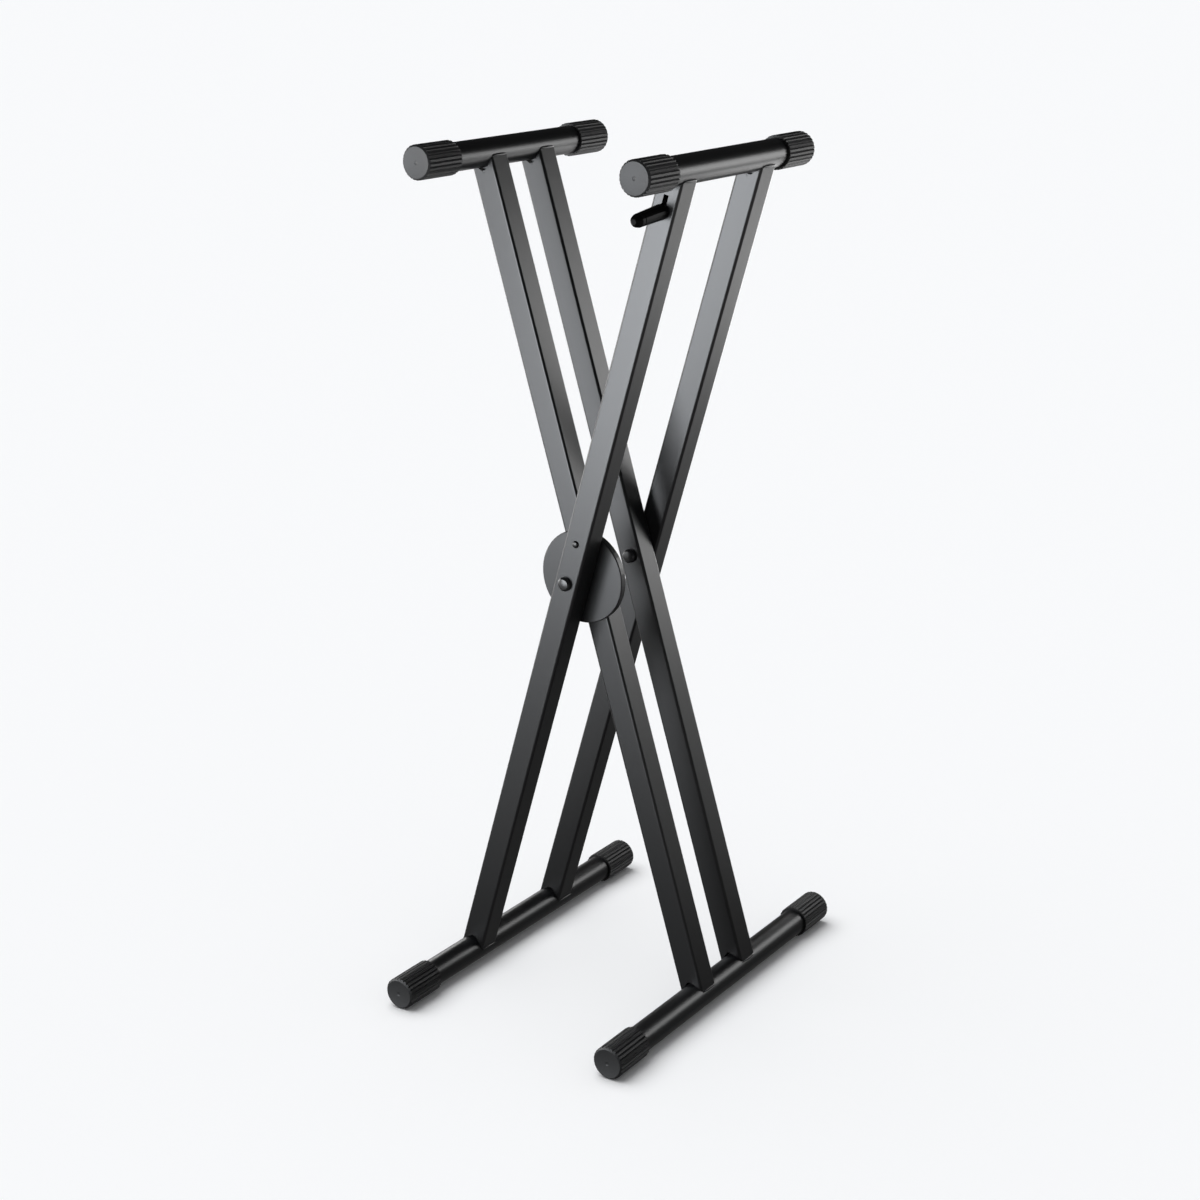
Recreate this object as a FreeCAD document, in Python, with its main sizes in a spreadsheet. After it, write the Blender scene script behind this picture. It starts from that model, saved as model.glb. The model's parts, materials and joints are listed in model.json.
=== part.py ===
import FreeCAD, Part
import math
import os

# Folding X-frame keyboard stand, millimetres, +Z up, floor at z = 0.
# The pivot axis runs along Y; the near side, with the lock and its lever, is -Y.

# Driving sizes: name, value, meaning
SIZES = [
    ("leg_width", 30, "square leg tube across its flats"),
    ("leg_wall", 1.5, "leg tube wall"),
    ("leg_corner", 3, "outer corner radius of the leg tube"),
    ("tube_diameter", 31.8, "round arm and base tube"),
    ("tube_wall", 1.5, "round tube wall"),
    ("arm_length", 342, "support arm over its caps"),
    ("base_length", 478, "base over its caps"),
    ("half_angle", 16.6, "lean of each leg from upright, degrees"),
    ("upper_reach", 483, "pivot to arm axis along a leg"),
    ("lower_reach", 513, "pivot to base axis along a leg"),
    ("inner_shift", 2.5, "middle of the inner leg pair along Y"),
    ("inner_spacing", 91, "inner legs, centre to centre"),
    ("near_gap", 11, "clear space between the near legs, for the lock"),
    ("far_gap", 1, "clear space between the far legs"),
    ("cap_radius", 19, "rubber cap over its ribs"),
    ("cap_length", 57, "rubber cap along its tube"),
    ("cap_end", 5, "closed end of the cap"),
    ("cap_bevel", 2.2, "bevel round the cap's closed end"),
    ("rib_count", 26, "ribs round a cap, an even number"),
    ("flute_depth", 1.3, "V groove between two ribs"),
    ("bolt_diameter", 10, "pivot bolts"),
    ("bolt_head_diameter", 16, "domed bolt head"),
    ("bolt_head_height", 5.5, "domed bolt head"),
    ("bolt_head_chamfer", 2, "bevel of the bolt head"),
    ("bolt_spare", 2, "thread beyond the nut"),
    ("nut_width", 17, "nut across its flats"),
    ("nut_height", 8, "lock nut"),
    ("washer_diameter", 20, "washers and spacers on the pivot"),
    ("washer_thickness", 1.5, "plain washers"),
    ("sleeve_wall", 2.5, "crush sleeve inside a leg"),
    ("running_clearance", 0.05, "radial clearance of pins in holes"),
    ("face_gap", 0.2, "axial clearance of turning faces"),
    ("ring_sides", 16, "flats that stand for the round of small rings, heads and bores"),
    ("spacer_thickness", 2, "spacer between leg and lock cover"),
    ("cover_radius", 54, "lock cover"),
    ("cover_depth", 8, "lock cover, face to rim edge"),
    ("cover_wall", 1.5, "lock cover wall"),
    ("cover_chamfer", 1, "bevel of the cover's face"),
    ("cover_sides", 52, "flats that stand for the round of the cover"),
    ("disc_radius", 40, "toothed lock disc"),
    ("disc_thickness", 5, "toothed lock disc"),
    ("notch_count", 20, "notches round the lock disc"),
    ("notch_width", 5.6, "notch for the lock tooth"),
    ("notch_depth", 2.6, "notch for the lock tooth"),
    ("tooth_width", 5, "lock tooth"),
    ("tooth_height", 6, "lock tooth along the leg"),
    ("tooth_clearance", 0.3, "tooth tip to disc rim"),
    ("tip_clearance", 0.4, "tooth end to inner leg, slider to leg wall"),
    ("window_margin", 0.7, "room round the tooth in its windows"),
    ("slide_travel", 3.1, "travel of the lock slider"),
    ("slider_width", 16, "lock slider"),
    ("slider_thickness", 6, "lock slider plate"),
    ("slider_low", 36, "lower end of the slider above the pivot"),
    ("slider_high", 82, "upper end of the slider above the pivot"),
    ("tab_height", 8, "slider tab that holds the rod"),
    ("tab_margin", 5, "tab beyond the rod's axis"),
    ("rivet_place", 50, "guide rivet above the pivot"),
    ("rivet_diameter", 5, "guide rivet shank"),
    ("rivet_head_radius", 4, "guide rivet head"),
    ("rivet_head_height", 2, "guide rivet head"),
    ("rivet_chamfer", 1, "bevel of the rivet head"),
    ("bush_wall", 2, "nylon bush round the rivet"),
    ("guide_clearance", 0.3, "slider to rivet and bush"),
    ("rod_diameter", 5, "pull rod"),
    ("rod_offset", 4, "pull rod from the leg's middle towards -Y"),
    ("collar_place", 100, "spring collar above the pivot"),
    ("collar_height", 6, "spring collar"),
    ("collar_radius", 7, "spring collar"),
    ("seat_place", 150, "spring seat above the pivot"),
    ("seat_height", 12, "spring seat"),
    ("spring_radius", 5.5, "lock spring, mean"),
    ("spring_wire", 1.4, "lock spring wire"),
    ("spring_pitch", 5, "lock spring pitch"),
    ("spring_sides", 10, "straight stretches in one turn of the lock spring"),
    ("slot_drop", 25, "arm axis down to the upper end of the lever slot"),
    ("slot_length", 27, "lever slot along the leg"),
    ("slot_width", 6, "lever slot"),
    ("lever_drop", 43, "arm axis down to the lever's axis, at the leg's face"),
    ("lever_droop", 6, "lever below square to the leg, degrees"),
    ("lever_thickness", 5, "lever plate"),
    ("lever_depth", 10, "lever plate along the leg"),
    ("lever_hub_radius", 6, "lever round its pin"),
    ("lever_pin_diameter", 6, "lever pin"),
    ("lever_pin_offset", 7, "lever pin from the leg's middle towards +Y"),
    ("lever_tang", 30, "lever plate inside the grip"),
    ("grip_radius", 7.4, "lever grip at its rounded tip"),
    ("grip_root_radius", 8.5, "lever grip next to the leg"),
    ("grip_gap", 2.5, "leg's face to the grip"),
    ("grip_reach", 52, "leg's face to the grip's tip"),
    ("grip_groove_place", 40, "leg's face to the ring groove in the grip"),
    ("grip_groove_width", 1.2, "ring groove"),
    ("grip_groove_depth", 0.5, "ring groove"),
    ("clevis_width", 10, "rod clevis across its cheeks"),
    ("clevis_depth", 8, "rod clevis along Y"),
    ("clevis_crotch", 7, "clevis pin to the bottom of its fork"),
    ("clevis_shank", 8, "clevis below its fork"),
    ("clevis_top", 4.5, "clevis above its pin"),
    ("clevis_pin_diameter", 4, "clevis pin"),
    ("clevis_play", 0.4, "clevis pin in the lever"),
    ("cut_overrun", 2, "length by which cuts run past a face"),
]

os.makedirs("parts", exist_ok=True)
doc = FreeCAD.newDocument("keyboard_stand")
sheet = doc.addObject("Spreadsheet::Sheet", "Sizes")
for row, (alias, value, meaning) in enumerate(SIZES, start=1):
    sheet.set("A%d" % row, meaning)
    sheet.set("B%d" % row, str(value))
    sheet.setAlias("B%d" % row, alias)
doc.recompute()

X_AXIS = FreeCAD.Vector(1, 0, 0)
Y_AXIS = FreeCAD.Vector(0, 1, 0)
Z_AXIS = FreeCAD.Vector(0, 0, 1)
ALONG = {
    "x": FreeCAD.Rotation(Y_AXIS, 90),
    "y": FreeCAD.Rotation(X_AXIS, -90),
    "z": FreeCAD.Rotation(),
}
ALIASES = {alias for alias, value, meaning in SIZES}
SAME_PLACE = 0.001
nodes = []


def size(name):
    return float(sheet.get(name))


def rule(text):
    # Size names in the text become references to the sheet.
    words = []
    for word in text.split():
        words.append("Sizes." + word if word in ALIASES else word)
    return " ".join(words)


def bind(feature, **texts):
    for name, text in texts.items():
        feature.setExpression(name.replace("_", ".") if name.startswith("Placement") else name, rule(text))


def at(feature, x, y, z):
    bind(feature, Placement_Base_x=x, Placement_Base_y=y, Placement_Base_z=z)


def new_body(label, placement):
    body = doc.addObject("PartDesign::Body", label)
    body.Label = label
    body.Placement = placement
    nodes.append(body)
    return body


def box(body, name, spans, cut=False, turn=None):
    # spans holds the low corner and the size for x, y and z, as size texts
    feature = body.newObject("PartDesign::SubtractiveBox" if cut else "PartDesign::AdditiveBox", name)
    if turn:
        feature.Placement = FreeCAD.Placement(FreeCAD.Vector(), turn)
    (x, length), (y, width), (z, height) = spans
    bind(feature, Length=length, Width=width, Height=height)
    at(feature, x, y, z)
    return feature


def lay_along(feature, axis, start, x, y, z):
    feature.Placement = FreeCAD.Placement(FreeCAD.Vector(), ALONG[axis])
    place = {"x": x, "y": y, "z": z}
    place[axis] = start
    at(feature, place["x"], place["y"], place["z"])


def rod(body, name, axis, radius, start, length, x="0", y="0", z="0", cut=False):
    kind = "PartDesign::SubtractiveCylinder" if cut else "PartDesign::AdditiveCylinder"
    feature = body.newObject(kind, name)
    bind(feature, Radius=radius, Height=length)
    lay_along(feature, axis, start, x, y, z)
    return feature


def prism(body, name, axis, across, start, length, sides="ring_sides", x="0", y="0", z="0", cut=False):
    # across is the distance from the axis to a flat
    kind = "PartDesign::SubtractivePrism" if cut else "PartDesign::AdditivePrism"
    feature = body.newObject(kind, name)
    corner = "( %s ) / cos( 180 deg / ( %s ) )" % (across, sides)
    bind(feature, Polygon=sides, Circumradius=corner, Height=length)
    lay_along(feature, axis, start, x, y, z)
    return feature


def sketch_across_y(body, name, corners, offset):
    # A closed outline of (x, z) corners in the plane at y = -offset
    plane = next(item for item in body.Origin.OriginFeatures if item.Role == "XZ_Plane")
    sketch = body.newObject("Sketcher::SketchObject", name)
    sketch.AttachmentSupport = [(plane, "")]
    sketch.MapMode = "FlatFace"
    sketch.AttachmentOffset = FreeCAD.Placement(Z_AXIS * offset, FreeCAD.Rotation())
    points = [FreeCAD.Vector(x, z, 0) for x, z in corners]
    for start, end in zip(points, points[1:] + points[:1]):
        sketch.addGeometry(Part.LineSegment(start, end))
    return sketch


def edge_names(feature, wanted):
    doc.recompute()
    return ["Edge%d" % count for count, edge in enumerate(feature.Shape.Edges, start=1) if wanted(edge)]


def rounded(body, feature, radius, wanted):
    # Rounds the edges of the latest shape for which wanted is true.
    fillet = body.newObject("PartDesign::Fillet", feature.Name + "_rounding")
    fillet.Base = (feature, edge_names(feature, wanted))
    bind(fillet, Radius=radius)
    body.Tip = fillet


def chamfered(body, feature, depth, wanted):
    # Bevels the edges of the latest shape for which wanted is true.
    chamfer = body.newObject("PartDesign::Chamfer", feature.Name + "_chamfer")
    chamfer.Base = (feature, edge_names(feature, wanted))
    bind(chamfer, Size=depth)
    body.Tip = chamfer


def ring_pattern(body, feature, count, axis_name):
    axis = next(item for item in body.Origin.OriginFeatures if item.Role == axis_name)
    pattern = body.newObject("PartDesign::PolarPattern", feature.Name + "_ring")
    pattern.Originals = [feature]
    pattern.Axis = (axis, [""])
    pattern.Angle = 360
    bind(pattern, Occurrences=count)
    body.Tip = pattern


def runs_along_z(edge):
    ends = [vertex.Point for vertex in edge.Vertexes]
    return len(ends) == 2 and (ends[1] - ends[0]).cross(Z_AXIS).Length < SAME_PLACE


def ends_at(axis_index, level):
    # True for an edge in the plane across a local axis at that level
    def wanted(edge):
        return all(abs(vertex.Point[axis_index] - level) < SAME_PLACE for vertex in edge.Vertexes)
    return wanted


# Places shared by the pieces
lean = math.radians(size("half_angle"))
pivot_height = size("cap_radius") + size("lower_reach") * math.cos(lean)
arm_height = pivot_height + size("upper_reach") * math.cos(lean)
arm_side = size("upper_reach") * math.sin(lean)
base_side = size("lower_reach") * math.sin(lean)
leg_half = size("leg_width") / 2
inner_near = size("inner_shift") - size("inner_spacing") / 2
inner_far = size("inner_shift") + size("inner_spacing") / 2
outer_near = inner_near - size("leg_width") - size("near_gap")
outer_far = inner_far + size("leg_width") + size("far_gap")
OUTER = 1
INNER = -1


def on_pivot(frame, y):
    # Leaning frame of a leg: local Z runs up the leg from the pivot axis.
    turn = FreeCAD.Rotation(Y_AXIS, frame * size("half_angle"))
    return FreeCAD.Placement(FreeCAD.Vector(0, y, pivot_height), turn)


def leg(label, frame, y):
    body = new_body(label, on_pivot(frame, y))
    full = ("- leg_width / 2", "leg_width")
    length = ("- lower_reach", "lower_reach + upper_reach")
    tube = box(body, label + "_tube", [full, full, length])
    rounded(body, tube, "leg_corner", runs_along_z)
    inside = ("- leg_width / 2 + leg_wall", "leg_width - 2 * leg_wall")
    past = ("- lower_reach - cut_overrun", "lower_reach + upper_reach + 2 * cut_overrun")
    box(body, label + "_hollow", [inside, inside, past], cut=True)
    across = ("- leg_width / 2 - cut_overrun", "leg_width + 2 * cut_overrun")
    for end, reach, turn in (("top", "upper_reach", -45), ("foot", "- lower_reach", 135)):
        # A square notch seats the round tube on its two flanks.
        apex = reach + (" - " if end == "top" else " + ") + "tube_diameter / 2 * sqrt(2)"
        notch = [("0", "tube_diameter + cut_overrun"), across, (apex, "tube_diameter + cut_overrun")]
        box(body, label + "_" + end + "_notch", notch, cut=True, turn=FreeCAD.Rotation(Y_AXIS, turn))
    rod(body, label + "_bore", "y", "bolt_diameter / 2 + running_clearance", *across, cut=True)
    return body


def round_tube(label, x, z, over_caps):
    body = new_body(label, FreeCAD.Placement(FreeCAD.Vector(x, 0, z), FreeCAD.Rotation()))
    span = "%s - 2 * cap_end" % over_caps
    rod(body, label + "_tube", "y", "tube_diameter / 2", "- ( %s ) / 2" % span, span)
    past = "%s + 2 * cut_overrun" % span
    inside = "tube_diameter / 2 - tube_wall"
    rod(body, label + "_hollow", "y", inside, "- ( %s ) / 2" % past, past, cut=True)


def end_cap(label, x, z, over_caps, side):
    # Local Z runs from the open mouth to the closed end, out along the tube.
    mouth = side * (size(over_caps) / 2 - size("cap_length"))
    turn = FreeCAD.Rotation(X_AXIS, -90 * side)
    body = new_body(label, FreeCAD.Placement(FreeCAD.Vector(x, mouth, z), turn))
    ribs = prism(body, label + "_ribs", "z", "cap_radius", "0", "cap_length", sides="rib_count")
    chamfered(body, ribs, "cap_bevel", ends_at(2, size("cap_length")))
    # A square bar on its edge cuts a groove along each corner of the prism.
    flute = box(body, label + "_flute", [
        ("cap_radius / cos( 180 deg / rib_count ) - flute_depth", "2 * flute_depth + cut_overrun"),
        ("0", "2 * flute_depth + cut_overrun"),
        ("- cut_overrun", "cap_length + 2 * cut_overrun"),
    ], cut=True, turn=FreeCAD.Rotation(Z_AXIS, -45))
    ring_pattern(body, flute, "rib_count", "Z_Axis")
    prism(body, label + "_bore", "z", "tube_diameter / 2 + running_clearance", "- cut_overrun",
          "cap_length - cap_end + cut_overrun", cut=True)


def pivot_ring(label, frame, y, radius, thickness):
    body = new_body(label, on_pivot(frame, y))
    prism(body, label + "_ring", "y", radius, "0", thickness)
    prism(body, label + "_bore", "y", "bolt_diameter / 2 + running_clearance", "- cut_overrun",
          "%s + 2 * cut_overrun" % thickness, cut=True)


def lock_nut(label, frame, y):
    body = new_body(label, on_pivot(frame, y))
    prism(body, label + "_hex", "y", "nut_width / 2", "0", "nut_height", sides="6")
    prism(body, label + "_bore", "y", "bolt_diameter / 2 + running_clearance", "- cut_overrun",
          "nut_height + 2 * cut_overrun", cut=True)


def pivot_bolt(label, frame, y, grip):
    # y is the leg's face under the head; grip is the length in legs and washers.
    body = new_body(label, on_pivot(frame, y))
    head = prism(body, label + "_head", "y", "bolt_head_diameter / 2", "- bolt_head_height",
                 "bolt_head_height")
    chamfered(body, head, "bolt_head_chamfer", ends_at(1, -size("bolt_head_height")))
    rod(body, label + "_shank", "y", "bolt_diameter / 2", "- bolt_head_height / 2",
        "bolt_head_height / 2 + %s + nut_height + bolt_spare" % grip)


# Two frames of square legs, round arms and round bases with ribbed rubber caps
leg("inner_near_leg", INNER, inner_near)
leg("inner_far_leg", INNER, inner_far)
lock_leg = leg("outer_near_leg", OUTER, outer_near)
leg("outer_far_leg", OUTER, outer_far)
for frame_name, frame in (("inner", INNER), ("outer", OUTER)):
    tubes = [
        ("arm", "support_arm", frame * arm_side, arm_height, "arm_length"),
        ("base", "base_tube", -frame * base_side, size("cap_radius"), "base_length"),
    ]
    for short, tube_name, x, z, over_caps in tubes:
        round_tube("%s_%s" % (frame_name, tube_name), x, z, over_caps)
        for end_name, side in (("near", -1), ("far", 1)):
            end_cap("%s_%s_%s_cap" % (frame_name, short, end_name), x, z, over_caps, side)

# Cut-outs of the leg that holds the lock
box(lock_leg, "lever_slot", [
    ("- slot_width / 2", "slot_width"),
    ("- leg_width / 2 - cut_overrun", "leg_wall + 2 * cut_overrun"),
    ("upper_reach - slot_drop - slot_length", "slot_length"),
], cut=True)
WINDOW = [
    ("- tooth_width / 2 - window_margin", "tooth_width + 2 * window_margin"),
    ("disc_radius + tooth_clearance - window_margin", "tooth_height + slide_travel + 2 * window_margin"),
]
box(lock_leg, "tooth_window", [
    WINDOW[0],
    ("leg_width / 2 - leg_wall - cut_overrun", "leg_wall + 2 * cut_overrun"),
    WINDOW[1],
], cut=True)
prism(lock_leg, "rivet_hole", "y", "rivet_diameter / 2 + running_clearance",
      "- leg_width / 2 - cut_overrun", "leg_wall + 2 * cut_overrun", z="rivet_place", cut=True)
PIN_PLACE = "upper_reach - lever_drop + ( leg_width / 2 + lever_pin_offset ) * tan( lever_droop * 1 deg )"
prism(lock_leg, "lever_pin_hole", "x", "lever_pin_diameter / 2 + running_clearance",
      "- leg_width / 2 - cut_overrun", "leg_width + 2 * cut_overrun",
      y="lever_pin_offset", z=PIN_PLACE, cut=True)

# Near pivot, from the outer leg's face inwards: bolt, sleeves, spacer, cover, washer, disc, washer, nut
NEAR_GRIP = "2 * leg_width + near_gap + face_gap + washer_thickness"
pivot_bolt("near_pivot_bolt", OUTER, outer_near - leg_half, NEAR_GRIP)
SLEEVE = ("bolt_diameter / 2 + running_clearance + sleeve_wall", "leg_width - 2 * leg_wall")
for label, frame, y in (
    ("inner_near_sleeve", INNER, inner_near),
    ("inner_far_sleeve", INNER, inner_far),
    ("outer_near_sleeve", OUTER, outer_near),
    ("outer_far_sleeve", OUTER, outer_far),
):
    pivot_ring(label, frame, y - leg_half + size("leg_wall"), *SLEEVE)
near_face = outer_near + leg_half
pivot_ring("lock_spacer", OUTER, near_face, "washer_diameter / 2", "spacer_thickness")

cover = new_body("lock_cover", on_pivot(OUTER, near_face + size("spacer_thickness")))
cup = prism(cover, "cover_cup", "y", "cover_radius", "0", "cover_depth", sides="cover_sides")
chamfered(cover, cup, "cover_chamfer", ends_at(1, 0))
prism(cover, "cover_hollow", "y", "cover_radius - cover_wall", "cover_wall", "cover_depth",
      sides="cover_sides", cut=True)
rod(cover, "cover_bore", "y", "bolt_diameter / 2 + running_clearance", "- cut_overrun",
    "cover_wall + 2 * cut_overrun", cut=True)
box(cover, "cover_window", [
    WINDOW[0],
    ("- cut_overrun", "cover_wall + 2 * cut_overrun"),
    WINDOW[1],
], cut=True)

cover_inside = near_face + size("spacer_thickness") + size("cover_wall")
pivot_ring("thrust_washer", OUTER, cover_inside, "washer_diameter / 2",
           "near_gap - spacer_thickness - cover_wall - disc_thickness - face_gap")
disc = new_body("lock_disc", on_pivot(INNER, inner_near - leg_half - size("disc_thickness")))
rod(disc, "disc_plate", "y", "disc_radius", "0", "disc_thickness")
prism(disc, "disc_bore", "y", "bolt_diameter / 2 + running_clearance", "- cut_overrun",
      "disc_thickness + 2 * cut_overrun", cut=True)
notch_cut = box(disc, "disc_notch", [
    ("- notch_width / 2", "notch_width"),
    ("- cut_overrun", "disc_thickness + 2 * cut_overrun"),
    ("disc_radius - notch_depth", "notch_depth + cut_overrun"),
], cut=True)
ring_pattern(disc, notch_cut, "notch_count", "Y_Axis")
near_inside = inner_near + leg_half + size("face_gap")
pivot_ring("near_pivot_washer", OUTER, near_inside, "washer_diameter / 2", "washer_thickness")
lock_nut("near_pivot_nut", OUTER, near_inside + size("washer_thickness"))

# Far pivot: bolt, spacer between the legs, washer, nut
FAR_GRIP = "2 * leg_width + far_gap + face_gap + washer_thickness"
pivot_bolt("far_pivot_bolt", INNER, inner_far - leg_half, FAR_GRIP)
pivot_ring("far_pivot_spacer", INNER, inner_far + leg_half, "washer_diameter / 2", "far_gap - 2 * face_gap")
far_outside = outer_far + leg_half + size("face_gap")
pivot_ring("far_pivot_washer", INNER, far_outside, "washer_diameter / 2", "washer_thickness")
lock_nut("far_pivot_nut", INNER, far_outside + size("washer_thickness"))

# Lock inside the outer near leg, in that leg's leaning frame
in_leg = on_pivot(OUTER, outer_near)
WALL_FACE = "leg_width / 2 - leg_wall - tip_clearance"
PLATE_BACK = WALL_FACE + " - slider_thickness"

slider = new_body("lock_slider", in_leg)
across_slider = ("- slider_width / 2", "slider_width")
box(slider, "slider_plate", [across_slider, (PLATE_BACK, "slider_thickness"),
                             ("slider_low", "slider_high - slider_low")])
box(slider, "slider_tab", [
    across_slider,
    ("- rod_offset - tab_margin", "rod_offset + tab_margin + leg_width / 2 - leg_wall - tip_clearance"),
    ("slider_high - tab_height", "tab_height"),
])
box(slider, "slider_tooth", [
    ("- tooth_width / 2", "tooth_width"),
    (WALL_FACE + " - slider_thickness / 2", "leg_wall + slider_thickness / 2 + near_gap"),
    ("disc_radius + tooth_clearance", "tooth_height"),
])
prism(slider, "slider_rod_hole", "z", "rod_diameter / 2 + running_clearance",
      "slider_high - tab_height - cut_overrun", "tab_height + 2 * cut_overrun", y="- rod_offset", cut=True)
box(slider, "slider_rivet_slot", [
    ("- rivet_diameter / 2 - guide_clearance", "rivet_diameter + 2 * guide_clearance"),
    (PLATE_BACK + " - cut_overrun", "slider_thickness + cut_overrun"),
    ("rivet_place - slide_travel - rivet_diameter / 2 - guide_clearance",
     "slide_travel + rivet_diameter + 2 * guide_clearance"),
], cut=True)

rivet = new_body("guide_rivet", in_leg)
rivet_head = prism(rivet, "rivet_head", "y", "rivet_head_radius", "- leg_width / 2 - rivet_head_height",
                   "rivet_head_height", z="rivet_place")
chamfered(rivet, rivet_head, "rivet_chamfer", ends_at(1, -leg_half - size("rivet_head_height")))
rod(rivet, "rivet_shank", "y", "rivet_diameter / 2", "- leg_width / 2 - rivet_head_height / 2",
    "leg_width + rivet_head_height / 2 - leg_wall - 2 * tip_clearance", z="rivet_place")

bush = new_body("guide_bush", in_leg)
BUSH_SPAN = ("- leg_width / 2 + leg_wall",
             "leg_width - 2 * leg_wall - tip_clearance - slider_thickness - guide_clearance")
prism(bush, "bush_outside", "y", "rivet_diameter / 2 + running_clearance + bush_wall", *BUSH_SPAN,
      z="rivet_place")
prism(bush, "bush_bore", "y", "rivet_diameter / 2 + running_clearance", "- leg_width / 2", "leg_width",
      z="rivet_place", cut=True)

CLEVIS_PLACE = "( %s - ( lever_pin_offset + rod_offset ) * tan( lever_droop * 1 deg ) )" % PIN_PLACE
ROD_TOP = CLEVIS_PLACE + " - clevis_crotch - clevis_shank / 2"
pull = new_body("pull_rod", in_leg)
rod(pull, "rod_bar", "z", "rod_diameter / 2", "slider_high - tab_height",
    ROD_TOP + " - slider_high + tab_height", y="- rod_offset")

collar = new_body("rod_collar", in_leg)
prism(collar, "collar_ring", "z", "collar_radius", "collar_place", "collar_height", y="- rod_offset")
prism(collar, "collar_bore", "z", "rod_diameter / 2 + running_clearance", "collar_place - cut_overrun",
      "collar_height + 2 * cut_overrun", y="- rod_offset", cut=True)

# A square plug inside the leg, with the rod running through it
seat = new_body("spring_seat", in_leg)
across_seat = ("- leg_width / 2 + leg_wall + running_clearance",
               "leg_width - 2 * leg_wall - 2 * running_clearance")
box(seat, "seat_plug", [across_seat, across_seat, ("seat_place", "seat_height")])
prism(seat, "seat_bore", "z", "rod_diameter / 2 + guide_clearance", "seat_place - cut_overrun",
      "seat_height + 2 * cut_overrun", y="- rod_offset", cut=True)

# Coil of square wire: a helix of straight stretches from the collar to the seat
wire_half = size("spring_wire") / 2
spring_start = size("collar_place") + size("collar_height") + wire_half
spring_rise = size("seat_place") - wire_half - spring_start
stretches = round(spring_rise / size("spring_pitch") * size("spring_sides"))
path = doc.addObject("Part::Polygon", "spring_path")
path.Nodes = [
    FreeCAD.Vector(
        size("spring_radius") * math.cos(2 * math.pi * count / size("spring_sides")),
        size("spring_radius") * math.sin(2 * math.pi * count / size("spring_sides")) - size("rod_offset"),
        spring_start + spring_rise * count / stretches,
    )
    for count in range(stretches + 1)
]
spring = new_body("lock_spring", in_leg)
wire = sketch_across_y(spring, "spring_wire", [
    (size("spring_radius") + across * wire_half, spring_start + up * wire_half)
    for across, up in ((-1, -1), (1, -1), (1, 1), (-1, 1))
], size("rod_offset"))
coil = spring.newObject("PartDesign::AdditivePipe", "spring_coil")
coil.Profile = wire
coil.Spine = (path, [])
coil.Transition = "Right corner"

# Release lever on its pin, and the clevis that joins the pull rod to it
droop_slope = math.tan(math.radians(size("lever_droop")))
pin_place = size("upper_reach") - size("lever_drop") + (leg_half + size("lever_pin_offset")) * droop_slope
clevis_place = pin_place - (size("lever_pin_offset") + size("rod_offset")) * droop_slope
pin = new_body("lever_pin", in_leg)
rod(pin, "lever_pin_bar", "x", "lever_pin_diameter / 2", "- leg_width / 2", "leg_width",
    y="lever_pin_offset", z=PIN_PLACE)

# Along the lever, local -Y runs from the pin to the grip's tip.
droop = FreeCAD.Rotation(X_AXIS, size("lever_droop"))
on_pin = in_leg.multiply(FreeCAD.Placement(FreeCAD.Vector(0, size("lever_pin_offset"), pin_place), droop))
TO_FACE = "( leg_width / 2 + lever_pin_offset ) / cos( lever_droop * 1 deg )"
lever = new_body("lever_plate", on_pin)
TANG_END = TO_FACE + " + grip_gap + lever_tang"
thick = ("- lever_thickness / 2", "lever_thickness")
box(lever, "lever_bar", [thick, ("- ( %s )" % TANG_END, TANG_END), ("- lever_depth / 2", "lever_depth")])
prism(lever, "lever_hub", "x", "lever_hub_radius", *thick)
through = ("- lever_thickness / 2 - cut_overrun", "lever_thickness + 2 * cut_overrun")
prism(lever, "lever_bore", "x", "lever_pin_diameter / 2 + running_clearance", *through, cut=True)
prism(lever, "lever_clevis_hole", "x", "clevis_pin_diameter / 2 + clevis_play", *through,
      y="- ( lever_pin_offset + rod_offset ) / cos( lever_droop * 1 deg )", cut=True)

grip = new_body("lever_grip", on_pin)
# A loft from the thick root to the parallels of the half ball that rounds the tip
to_face = (leg_half + size("lever_pin_offset")) / math.cos(math.radians(size("lever_droop")))
tip_start = to_face + size("grip_reach") - size("grip_radius")
sections = [(to_face + size("grip_gap"), size("grip_root_radius"))]
for parallel in (0, 35, 68):
    up = math.radians(parallel)
    sections.append((tip_start + size("grip_radius") * math.sin(up), size("grip_radius") * math.cos(up)))
grip_sides = round(size("ring_sides"))
turns = [2 * math.pi * (count + 1 / 2) / grip_sides for count in range(grip_sides)]
outlines = [
    sketch_across_y(grip, "grip_section_%d" % count, [
        (radius * math.cos(turn), radius * math.sin(turn)) for turn in turns
    ], distance)
    for count, (distance, radius) in enumerate(sections)
]
handle = grip.newObject("PartDesign::AdditiveLoft", "grip_handle")
handle.Profile = outlines[0]
handle.Sections = outlines[1:]
handle.Ruled = True
GROOVE = ("- ( %s + grip_groove_place )" % TO_FACE, "grip_groove_width")
prism(grip, "grip_groove", "y", "grip_root_radius + cut_overrun", *GROOVE, cut=True)
prism(grip, "grip_core", "y", "grip_radius - grip_groove_depth", *GROOVE)
box(grip, "grip_socket", [
    thick,
    ("- ( %s )" % TANG_END, "lever_tang + cut_overrun"),
    ("- lever_depth / 2", "lever_depth"),
], cut=True)

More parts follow.
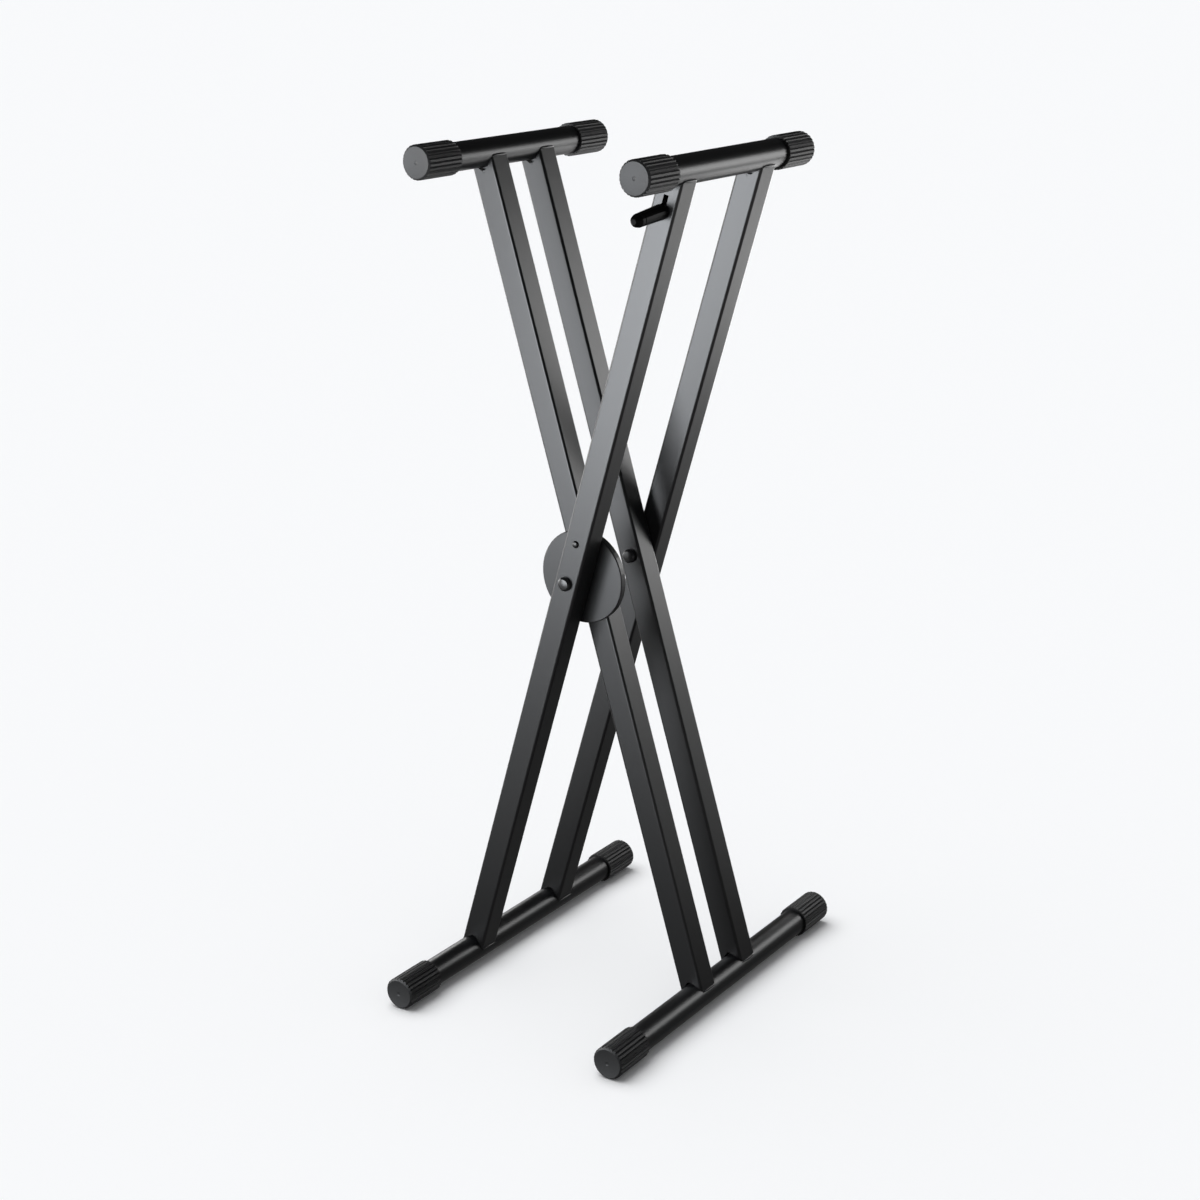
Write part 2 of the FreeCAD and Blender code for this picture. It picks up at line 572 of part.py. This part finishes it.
on_clevis = in_leg.multiply(
    FreeCAD.Placement(FreeCAD.Vector(0, -size("rod_offset"), clevis_place), FreeCAD.Rotation())
)
clevis = new_body("rod_clevis", on_clevis)
clevis_side = ("- clevis_width / 2", "clevis_width")
clevis_front = ("- clevis_depth / 2", "clevis_depth")
box(clevis, "clevis_block", [
    clevis_side,
    clevis_front,
    ("- clevis_crotch - clevis_shank", "clevis_crotch + clevis_shank + clevis_top"),
])
box(clevis, "clevis_fork", [
    ("- lever_thickness / 2 - guide_clearance", "lever_thickness + 2 * guide_clearance"),
    ("- clevis_depth / 2 - cut_overrun", "clevis_depth + 2 * cut_overrun"),
    ("- clevis_crotch", "clevis_crotch + clevis_top + cut_overrun"),
], cut=True)
prism(clevis, "clevis_bore", "x", "clevis_pin_diameter / 2 + running_clearance",
      "- clevis_width / 2 - cut_overrun", "clevis_width + 2 * cut_overrun", cut=True)
prism(clevis, "clevis_rod_hole", "z", "rod_diameter / 2 + running_clearance",
      "- clevis_crotch - clevis_shank - cut_overrun", "clevis_shank / 2 + cut_overrun", cut=True)
clevis_pin = new_body("clevis_pin", on_clevis)
rod(clevis_pin, "clevis_pin_bar", "x", "clevis_pin_diameter / 2", *clevis_side)

# Checks, then one file for each node
doc.recompute()
for item in doc.Objects:
    if "Invalid" in item.State or "Error" in item.State:
        raise RuntimeError("feature failed: " + item.Label)
for node in nodes:
    if node.Shape.isNull() or not node.Shape.isValid() or len(node.Shape.Solids) != 1:
        raise RuntimeError("bad solid: " + node.Label)
    node.Shape.exportStep("parts/" + node.Label + ".step")
print("wrote %d parts" % len(nodes))
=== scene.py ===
import json
import math

import bpy
from mathutils import Matrix, Vector


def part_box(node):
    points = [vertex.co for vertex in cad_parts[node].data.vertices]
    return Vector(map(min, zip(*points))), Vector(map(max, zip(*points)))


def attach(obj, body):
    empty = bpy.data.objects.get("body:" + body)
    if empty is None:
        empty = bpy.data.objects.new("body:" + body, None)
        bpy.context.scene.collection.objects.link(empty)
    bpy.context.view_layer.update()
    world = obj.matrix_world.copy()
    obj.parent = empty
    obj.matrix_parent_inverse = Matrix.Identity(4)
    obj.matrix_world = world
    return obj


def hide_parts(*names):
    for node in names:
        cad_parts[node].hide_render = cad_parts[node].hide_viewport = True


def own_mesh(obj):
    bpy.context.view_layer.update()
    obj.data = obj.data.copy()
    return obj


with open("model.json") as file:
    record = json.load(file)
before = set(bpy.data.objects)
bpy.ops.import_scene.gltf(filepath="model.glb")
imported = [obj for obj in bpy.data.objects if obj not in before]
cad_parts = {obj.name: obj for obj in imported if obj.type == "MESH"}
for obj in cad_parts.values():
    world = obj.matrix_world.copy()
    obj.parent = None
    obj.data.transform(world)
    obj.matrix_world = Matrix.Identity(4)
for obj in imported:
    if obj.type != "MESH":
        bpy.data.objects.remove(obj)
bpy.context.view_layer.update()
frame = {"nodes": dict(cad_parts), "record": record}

# Metres and degrees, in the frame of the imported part. The near side is -Y and the pivot axis runs along Y.
record = frame["record"]

# Camera fitted to the photograph, with its lens and sensor in millimetres
CAMERA_AZIMUTH = 33.91
CAMERA_ELEVATION = 17.64
CAMERA_ROLL = -0.296
CAMERA_DISTANCE = 2.5202
CAMERA_TARGET = Vector((-0.0202, 0.0, 0.46167))
CAMERA_LENS = 64.86
CAMERA_REACH = 100
SENSOR_WIDTH = 36.0

# Studio light
SKY_COLOR = (0.98, 0.985, 0.99)
SKY_STRENGTH = 0.35
ROOM_STRENGTH = 0.03
BACKDROP_COLOR = (0.945, 0.95, 0.965)
SUN_STRENGTH = 2.26
SUN_DIRECTION = Vector((0.4, 0.05, -0.91))
SUN_SIZE = 62
COOL_WHITE = (0.92, 0.955, 1.0)
PLAIN_WHITE = (1.0, 1.0, 1.0)

# Softboxes: name, place, the point that it faces, width, height, power and colour
SOFTBOXES = (
    ("front_left_box", (-0.65, -1.93, 0.61), (0, 0, 0.61), 1.2, 1.2, 64, COOL_WHITE),
    ("back_right_box", (1.2, 1.6, 0.9), (0, 0, 0.9), 1.2, 0.8, 13, PLAIN_WHITE),
    ("back_floor_card", (0.35, 2.2, 0.02), (0.35, 2.2, 1), 1.6, 1.2, 13, PLAIN_WHITE),
    ("rear_box", (-0.1, 2.0, 0.5), (0, 0, 0.5), 0.9, 0.7, 12, PLAIN_WHITE),
    ("left_box", (-1.9, -0.7, 0.7), (0, 0, 0.7), 1.0, 1.2, 30, PLAIN_WHITE),
    ("left_rear_box", (-1.7, 1.0, 0.7), (0, 0, 0.7), 1.0, 1.0, 10, PLAIN_WHITE),
)

# Floor, and the painted reflection that glossy faces see in it: painted shade near the stand on the right,
# brighter farther out
FLOOR_SIZE = 400
FLOOR_COLOR = (0.955, 0.96, 0.97)
PAINTED_REFLECTION_SHADE = 0.12
PAINTED_REFLECTION_GLOW = 0.52
PAINTED_SHADE_PLACE = (0.45, 0.0, 0.0)
PAINTED_SHADE_REACH = 0.6
PAINTED_GLOW_REACH = 1.3

# Weld beads between the legs and the round tubes
WELD_RADIUS = 0.0018
WELD_RIPPLES = 7
WELD_RIPPLE_SHARE = 0.12
WELD_STATIONS = 29
WELD_SIDES = 10
WELD_SINK_SHARE = 0.6
LEG_CORNER = 0.003

# Weld metal and webs in the notches of the leg ends
FILL_SHARE = 0.6
FILL_HOLLOW_SHARE = 0.25
FILL_STEPS = 6
FILL_RECESS = 0.0005
FILL_SINK = 0.0002
WEB_RECESS = 0.006
WEB_STEPS = 10

# Lock spring, between the collar on the pull rod and the seat in the leg
SPRING_RADIUS = 0.0055
SPRING_WIRE = 0.0014
SPRING_LENGTH = 0.044
SPRING_TURNS = 8.5
SPRING_STEPS = 136
SPRING_SIDES = 8
COLLAR_HEIGHT = 0.006

# Soft edges of the CAD nodes by material slot, and the angle that stays sharp on the scene's own pieces
EDGE_WIDTHS = {"powder_coat": 0.0003, "cap_rubber": 0.0004, "cover_black": 0.0006, "black_hardware": 0.0005}
EDGE_SEGMENTS = 2
EDGE_ANGLE = 35
CREASE_ANGLE = 50

# Noise in the finishes
TINT_DETAIL = 2.0
GRAIN_DETAIL = 3.0
GRAIN_ROUGHNESS = 0.55

# Rounded ends in the finishes: height by the square of the distance from the piece's own axis along Y,
# in Generated coordinates, which run from 0 to 1 over the piece's box
ACROSS_Y = (1, 0, 1)
BOX_AXIS = (0.5, 0, 0.5)
CAP_DISH = 0.0051
CAP_DIMPLE = 0.0004
DIMPLE_SHARES = (0.02, 0.07)
HEAD_DOME = -0.0055

# Finishes: a dark and a light tone and their scale, or fixed inputs of the shader; the grain's scale,
# strength and depth; the range of the roughness; and a rounded end's rise and dimple
BLACK_TONES = ((0.0042, 0.0042, 0.0047), (0.0058, 0.0058, 0.0063))
FINISHES = {
    "powder_coat": {
        "tones": ((0.0034, 0.0034, 0.0039), (0.0048, 0.0048, 0.0053)),
        "tone_scale": 30,
        "grain": (1400, 0.10, 0.0002),
        "roughness": (0.30, 0.38),
    },
    "cap_rubber": {
        "tones": ((0.005, 0.005, 0.0055), (0.007, 0.007, 0.0075)),
        "tone_scale": 60,
        "grain": (900, 0.08, 0.0002),
        "roughness": (0.50, 0.60),
        "end": (CAP_DISH, CAP_DIMPLE),
    },
    "cover_black": {
        "tones": BLACK_TONES,
        "tone_scale": 50,
        "grain": (1100, 0.06, 0.0002),
        "roughness": (0.28, 0.36),
    },
    "black_hardware": {
        "tones": BLACK_TONES,
        "tone_scale": 120,
        "grain": (700, 0.04, 0.0001),
        "roughness": (0.30, 0.36),
    },
    "plain_steel": {
        "fixed": {"Base Color": (0.28, 0.28, 0.29, 1), "Metallic": 1.0},
        "grain": (500, 0.05, 0.0001),
        "roughness": (0.42, 0.52),
    },
    "nylon": {
        "fixed": {"Base Color": (0.03, 0.03, 0.03, 1)},
        "grain": (600, 0.05, 0.0001),
        "roughness": (0.45, 0.55),
    },
    "grip_plastic": {
        "fixed": {"Base Color": (0.002, 0.002, 0.002, 1), "Specular IOR Level": 0.04},
        "grain": (600, 0.06, 0.0002),
        "roughness": (0.30, 0.38),
    },
}
FINISHES["domed_hardware"] = dict(FINISHES["black_hardware"], end=(HEAD_DOME, 0))
DOMED_NODES = ("near_pivot_bolt", "far_pivot_bolt", "guide_rivet")


def middle(node):
    low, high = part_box(node)
    return (Vector(low) + Vector(high)) / 2


def span(node):
    low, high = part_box(node)
    return Vector(high) - Vector(low)


def new_object(name, data):
    holder = bpy.data.objects.new(name, data)
    bpy.context.scene.collection.objects.link(holder)
    return holder


def facing(direction):
    # Rotation of a lamp that shines this way
    return direction.to_track_quat("-Z", "Y").to_euler()


def opaque(color):
    return color + (1,)


# Shader nodes
def set_inputs(node, values):
    # An input goes by its name or its number
    for entry, value in values.items():
        node.inputs[entry].default_value = value


def add_node(tree, kind, inputs=None, **settings):
    node = tree.nodes.new(kind)
    for name, value in settings.items():
        setattr(node, name, value)
    set_inputs(node, inputs or {})
    return node


def join(tree, source, output, target, entry):
    tree.links.new(source.outputs[output], target.inputs[entry])


def split_rays(tree, ray, others, chosen):
    # Rays of this kind see the chosen shader, and all other rays see the first one
    rays = add_node(tree, "ShaderNodeLightPath")
    mix = add_node(tree, "ShaderNodeMixShader")
    join(tree, rays, ray, mix, "Fac")
    join(tree, others, 0, mix, 1)
    join(tree, chosen, 0, mix, 2)
    return mix


# Materials
def new_material(name):
    material = bpy.data.materials.new(name)
    material.use_nodes = True
    tree = material.node_tree
    shader = tree.nodes["Principled BSDF"]
    return material, tree, shader


def tint(tree, shader, dark, light, scale):
    # Slow variation between two tones of one colour
    place = add_node(tree, "ShaderNodeTexCoord")
    noise = add_node(tree, "ShaderNodeTexNoise", {"Scale": scale, "Detail": TINT_DETAIL})
    ramp = add_node(tree, "ShaderNodeValToRGB")
    ramp.color_ramp.elements[0].color = opaque(dark)
    ramp.color_ramp.elements[1].color = opaque(light)
    join(tree, place, "Object", noise, "Vector")
    join(tree, noise, "Fac", ramp, "Fac")
    join(tree, ramp, "Color", shader, "Base Color")


def grain(tree, shader, scale, strength, depth):
    # Fine bumps from noise in the object's own coordinates
    place = add_node(tree, "ShaderNodeTexCoord")
    noise = add_node(tree, "ShaderNodeTexNoise",
                     {"Scale": scale, "Detail": GRAIN_DETAIL, "Roughness": GRAIN_ROUGHNESS})
    bump = add_node(tree, "ShaderNodeBump", {"Strength": strength, "Distance": depth})
    join(tree, place, "Object", noise, "Vector")
    join(tree, noise, "Fac", bump, "Height")
    join(tree, bump, "Normal", shader, "Normal")
    return noise, bump


def vary_roughness(tree, shader, noise, low, high):
    ramp = add_node(tree, "ShaderNodeMapRange", {"To Min": low, "To Max": high})
    join(tree, noise, "Fac", ramp, "Value")
    join(tree, ramp, "Result", shader, "Roughness")


def round_end(tree, shader, under, rise, dimple):
    # The end across the Y axis is domed or dished over the grain, with a moulding dimple in its middle
    place = add_node(tree, "ShaderNodeTexCoord")
    flat = add_node(tree, "ShaderNodeVectorMath", {1: ACROSS_Y}, operation="MULTIPLY")
    radius = add_node(tree, "ShaderNodeVectorMath", {1: BOX_AXIS}, operation="DISTANCE")
    square = add_node(tree, "ShaderNodeMath", {1: 2}, operation="POWER")
    hollow = add_node(tree, "ShaderNodeMapRange",
                      {"From Min": DIMPLE_SHARES[0], "From Max": DIMPLE_SHARES[1],
                       "To Min": -dimple, "To Max": 0},
                      interpolation_type="SMOOTHSTEP")
    height = add_node(tree, "ShaderNodeMath", {1: rise}, operation="MULTIPLY_ADD")
    bump = add_node(tree, "ShaderNodeBump", {"Strength": 1.0, "Distance": 1.0})
    join(tree, place, "Generated", flat, 0)
    join(tree, flat, "Vector", radius, 0)
    join(tree, radius, "Value", square, 0)
    join(tree, radius, "Value", hollow, "Value")
    join(tree, square, "Value", height, 0)
    join(tree, hollow, "Result", height, 2)
    join(tree, height, "Value", bump, "Height")
    join(tree, under, "Normal", bump, "Normal")
    join(tree, bump, "Normal", shader, "Normal")


def finish(name, look):
    material, tree, shader = new_material(name)
    set_inputs(shader, look.get("fixed", {}))
    if "tones" in look:
        tint(tree, shader, *look["tones"], look["tone_scale"])
    noise, bump = grain(tree, shader, *look["grain"])
    vary_roughness(tree, shader, noise, *look["roughness"])
    if "end" in look:
        round_end(tree, shader, bump, *look["end"])
    return material


def studio_floor():
    # Matt under the lamps; in reflections it glows as a painted reflection, with painted shade near the
    # stand
    material, tree, shader = new_material("studio_floor")
    set_inputs(shader, {"Base Color": opaque(FLOOR_COLOR), "Roughness": 1.0, "Specular IOR Level": 0.0})
    place = add_node(tree, "ShaderNodeTexCoord")
    radius = add_node(tree, "ShaderNodeVectorMath", {1: PAINTED_SHADE_PLACE}, operation="DISTANCE")
    reach = add_node(tree, "ShaderNodeMapRange",
                     {"From Min": PAINTED_SHADE_REACH, "From Max": PAINTED_GLOW_REACH,
                      "To Min": PAINTED_REFLECTION_SHADE, "To Max": PAINTED_REFLECTION_GLOW},
                     interpolation_type="SMOOTHSTEP")
    # Painted reflection: a glow that only glossy rays see, darkened near the stand as painted shade
    painted_reflection = add_node(tree, "ShaderNodeEmission", {"Color": opaque(SKY_COLOR)})
    mix = split_rays(tree, "Is Glossy Ray", shader, painted_reflection)
    join(tree, place, "Object", radius, 0)
    join(tree, radius, "Value", reach, "Value")
    join(tree, reach, "Result", painted_reflection, "Strength")
    join(tree, mix, "Shader", tree.nodes["Material Output"], "Surface")
    return material


MATERIALS = {name: finish(name, look) for name, look in FINISHES.items()}


# Pieces
def dress_nodes():
    # The CAD nodes keep their meshes and get finishes and soft edges.
    for part in record["subparts"]:
        node = frame["nodes"][part["node"]]
        slot = part["material_slot"]
        node.data.materials.clear()
        node.data.materials.append(MATERIALS["domed_hardware" if part["node"] in DOMED_NODES else slot])
        if slot in EDGE_WIDTHS:
            bevel = node.modifiers.new("soft_edges", "BEVEL")
            bevel.width = EDGE_WIDTHS[slot]
            bevel.segments = EDGE_SEGMENTS
            bevel.limit_method = "ANGLE"
            bevel.angle_limit = math.radians(EDGE_ANGLE)
            bevel.harden_normals = True


def mesh_object(name, points, faces, slot, body):
    mesh = bpy.data.meshes.new(name)
    mesh.from_pydata(points, [], faces)
    mesh.update()
    for polygon in mesh.polygons:
        polygon.use_smooth = True
    mesh.set_sharp_from_angle(angle=math.radians(CREASE_ANGLE))
    piece = new_object(name, mesh)
    piece.data.materials.append(MATERIALS[slot])
    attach(piece, body)
    return piece


def tube_faces(rings, sides):
    # Faces between each ring of points and the next
    faces = []
    for ring in range(rings - 1):
        here = ring * sides
        for side in range(sides):
            after = (side + 1) % sides
            faces.append((here + side, here + after, here + sides + after, here + sides + side))
    return faces


def weld_bead(name, middle_point, length, body):
    # A rippled bead along Y with tapered ends
    points = []
    for station in range(WELD_STATIONS):
        along = station / (WELD_STATIONS - 1)
        taper = math.sqrt(math.sin(math.pi * along))
        ripple = 1 - WELD_RIPPLE_SHARE * math.cos(2 * math.pi * WELD_RIPPLES * along) ** 2
        radius = WELD_RADIUS * taper * ripple
        for side in range(WELD_SIDES):
            turn = 2 * math.pi * side / WELD_SIDES
            offset = Vector((radius * math.cos(turn), length * (along - 0.5), radius * math.sin(turn)))
            points.append(middle_point + offset)
    mesh_object(name, points, tube_faces(WELD_STATIONS, WELD_SIDES), "powder_coat", body)


def fill_section(apex, inward, across, size):
    # Weld metal in the bottom of the notch where a leg straddles its tube, with a hollow face
    section = [apex + inward * FILL_SINK]
    for step in range(FILL_STEPS + 1):
        share = 2 * step / FILL_STEPS - 1
        depth = size * (1 - FILL_HOLLOW_SHARE * (1 - share * share))
        section.append(apex - inward * depth + across * share * (size + FILL_SINK))
    return section


def web_section(apex, inward, across, tube_radius):
    # Between the notch and the round of the tube, so that no light comes through the hollow leg
    centre = apex - inward * tube_radius * math.sqrt(2)
    section = [apex + inward * FILL_SINK]
    for step in range(WEB_STEPS + 1):
        turn = math.pi / 2 * (step / WEB_STEPS - 0.5)
        outward = inward * math.cos(turn) + across * math.sin(turn)
        section.append(centre + outward * (tube_radius - FILL_SINK))
    return section


def across_leg(name, section, reach_y, body):
    # A bar of this section across the width of a leg
    count = len(section)
    reach = Vector((0, reach_y, 0))
    points = [point - reach for point in section] + [point + reach for point in section]
    faces = [tuple(range(count)), tuple(range(2 * count - 1, count - 1, -1))]
    for corner in range(count):
        after = (corner + 1) % count
        faces.append((after, corner, count + corner, count + after))
    mesh_object(name, points, faces, "powder_coat", body)


def welds():
    # Each leg end has a right-angled notch for its tube, and a bead where each narrow face meets the tube.
    for name in ("inner", "outer"):
        arm = middle(name + "_support_arm")
        base = middle(name + "_base_tube")
        tube_radius = span(name + "_support_arm").x / 2
        up = (arm - base).normalized()
        across = Vector((up.z, 0, -up.x))
        for leg in ("near", "far"):
            leg_node = "%s_%s_leg" % (name, leg)
            half = span(leg_node).y / 2
            drop = tube_radius * math.sqrt(2) - half - WELD_RADIUS * WELD_SINK_SHARE
            gap = tube_radius * (math.sqrt(2) - 1)
            for end, place, inward in (("top", arm, -up), ("foot", base, up)):
                apex = place + inward * tube_radius * math.sqrt(2)
                apex.y = middle(leg_node).y
                ending = "%s_%s_%s" % (name, leg, end)
                across_leg("weld_fill_" + ending, fill_section(apex, inward, across, gap * FILL_SHARE),
                           half - FILL_RECESS, name + "_frame")
                across_leg("weld_web_" + ending, web_section(apex, inward, across, tube_radius),
                           half - WEB_RECESS, name + "_frame")
                for side_name, side in (("left", -1), ("right", 1)):
                    point = place + inward * drop + across * side * half
                    point.y = apex.y
                    weld_bead("weld_%s_%s" % (ending, side_name), point,
                              2 * half - LEG_CORNER, name + "_frame")


def lock_spring():
    # The spring shortens towards its seat as the lever pulls the rod up.
    slide = [joint for joint in record["behaviour"]["joints"] if joint["name"] == "lock_slide"][0]
    up = Vector(slide["axis"])
    across = Vector((up.z, 0, -up.x))
    aside = Vector((0, 1, 0))
    foot = middle("rod_collar") + up * COLLAR_HEIGHT / 2
    wire_half = SPRING_WIRE / 2
    points = []
    for step in range(SPRING_STEPS + 1):
        share = step / SPRING_STEPS
        turn = 2 * math.pi * SPRING_TURNS * share
        outward = across * math.cos(turn) + aside * math.sin(turn)
        centre = foot + up * (wire_half + (SPRING_LENGTH - SPRING_WIRE) * share) + outward * SPRING_RADIUS
        for side in range(SPRING_SIDES):
            angle = 2 * math.pi * side / SPRING_SIDES
            points.append(centre + (outward * math.cos(angle) + up * math.sin(angle)) * wire_half)
    faces = [tuple(range(SPRING_SIDES)),
             tuple(range(len(points) - 1, len(points) - SPRING_SIDES - 1, -1))]
    # The rings run the other way round here than in a weld bead
    faces += [face[::-1] for face in tube_faces(SPRING_STEPS + 1, SPRING_SIDES)]
    coil = mesh_object("lock_spring_coil", points, faces, "plain_steel", "outer_frame")
    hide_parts("lock_spring")
    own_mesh(coil)


# Studio
def floor():
    bpy.ops.mesh.primitive_plane_add(size=FLOOR_SIZE)
    ground = bpy.context.object
    ground.name = "studio_ground"
    ground.data.materials.append(studio_floor())


def softbox(name, place, aim, width, height, power, color):
    # A lamp that only shows as a reflection, so that the floor stays evenly lit
    light = bpy.data.lights.new(name, "AREA")
    light.shape = "RECTANGLE"
    light.size = width
    light.size_y = height
    light.energy = power
    light.color = color
    holder = new_object(name, light)
    holder.location = place
    holder.rotation_euler = facing(Vector(aim) - Vector(place))
    holder.visible_diffuse = False
    holder.visible_camera = False


def sun():
    # Wide light from the upper left that only reaches matt surfaces
    light = bpy.data.lights.new("top_left_light", "SUN")
    light.energy = SUN_STRENGTH
    light.color = SKY_COLOR
    light.angle = math.radians(SUN_SIZE)
    holder = new_object("top_left_light", light)
    holder.rotation_euler = facing(SUN_DIRECTION)
    holder.visible_glossy = False
    # Only the bases cast its shadows: those of the tall legs are too faint to see in the photograph.
    shades = bpy.data.collections.new("floor_shades")
    for name, node in frame["nodes"].items():
        if "_base_" in name:
            shades.objects.link(node)
    holder.light_linking.blocker_collection = shades


def sky():
    # Even white light for the floor, a dark room in the reflections and a white horizon
    world = bpy.data.worlds.new("studio")
    bpy.context.scene.world = world
    world.use_nodes = True
    tree = world.node_tree
    white = tree.nodes["Background"]
    set_inputs(white, {"Color": opaque(SKY_COLOR), "Strength": SKY_STRENGTH})
    room = add_node(tree, "ShaderNodeBackground", {"Color": opaque(SKY_COLOR), "Strength": ROOM_STRENGTH})
    backdrop = add_node(tree, "ShaderNodeBackground", {"Color": opaque(BACKDROP_COLOR)})
    lit = split_rays(tree, "Is Glossy Ray", white, room)
    seen = split_rays(tree, "Is Camera Ray", lit, backdrop)
    join(tree, seen, "Shader", tree.nodes["World Output"], "Surface")


def studio():
    sky()
    sun()
    for lamp in SOFTBOXES:
        softbox(*lamp)


def camera():
    azimuth = math.radians(CAMERA_AZIMUTH)
    elevation = math.radians(CAMERA_ELEVATION)
    back = Vector((
        math.sin(azimuth) * math.cos(elevation),
        -math.cos(azimuth) * math.cos(elevation),
        math.sin(elevation),
    ))
    right = Vector((0, 0, 1)).cross(back).normalized()
    up = back.cross(right)
    turn = Matrix((right, up, back)).transposed().to_4x4()
    roll = Matrix.Rotation(math.radians(CAMERA_ROLL), 4, "Z")
    lens = bpy.data.cameras.new("photo_camera")
    lens.sensor_width = SENSOR_WIDTH
    lens.lens = CAMERA_LENS
    lens.clip_end = CAMERA_REACH
    holder = new_object("photo_camera", lens)
    holder.matrix_world = Matrix.Translation(CAMERA_TARGET + back * CAMERA_DISTANCE) @ turn @ roll
    bpy.context.scene.camera = holder


dress_nodes()
welds()
lock_spring()
floor()
studio()
camera()
bpy.context.scene.view_settings.view_transform = "Standard"
